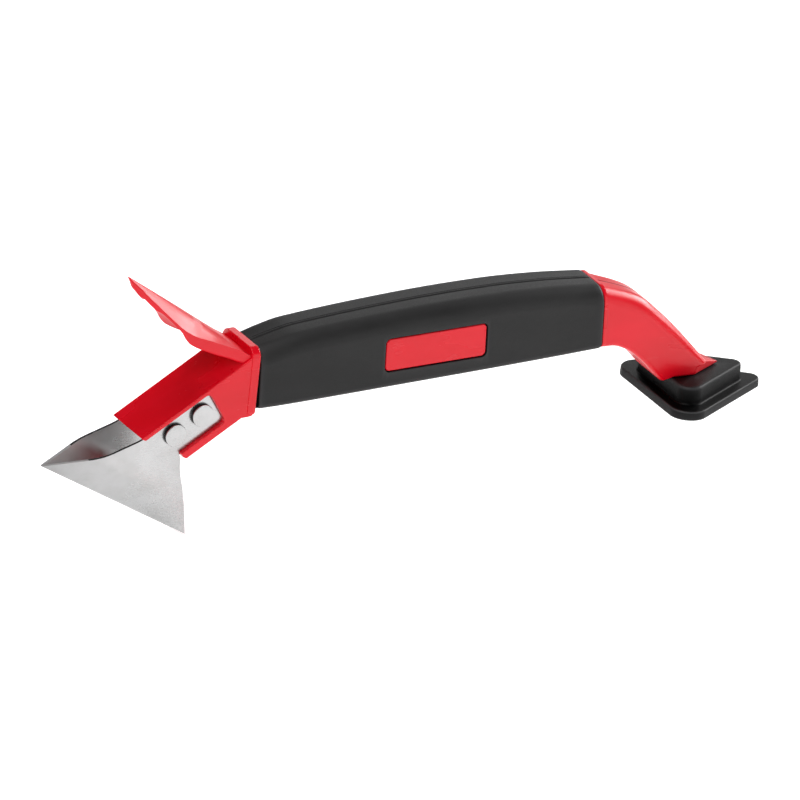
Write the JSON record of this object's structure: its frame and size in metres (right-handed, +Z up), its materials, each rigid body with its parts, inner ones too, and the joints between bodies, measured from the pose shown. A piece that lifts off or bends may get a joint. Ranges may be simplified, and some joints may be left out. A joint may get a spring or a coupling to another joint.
{
  "type": "sealant strip-and-finish tool",
  "caption": "Hand tool with a folded steel scraper blade and a plastic scraper fin at one end, a soft grip, and a pull-off rubber finishing pad at the other.",
  "frame": {"origin": "on the finishing pad's sole, in the middle plane, under the foot", "axes": "+X from the blade to the pad along the tool, +Y across it, +Z up from the level sole"},
  "size_m": [0.2524, 0.0438, 0.0898],
  "materials": {
    "red_plastic": "moulded, satin gloss",
    "grip_rubber": "soft, fine matte texture",
    "blade_steel": "brushed stainless",
    "rivet_steel": "satin, flat heads",
    "pad_rubber": "smooth elastomer"
  },
  "bodies": {
    "tool": {"core": "red_plastic", "grip_sleeve": "grip_rubber", "blade": "blade_steel", "rivet_front": "rivet_steel", "rivet_rear": "rivet_steel", "rivet_cap_front": "rivet_steel", "rivet_cap_rear": "rivet_steel"},
    "pad": {"finishing_pad": "pad_rubber"}
  },
  "joints": [
    {"name": "pad_pull_off", "type": "slide", "parent": "tool", "child": "pad", "axis": [0, 0, -1], "range_m": [0, 0.01]}
  ]
}
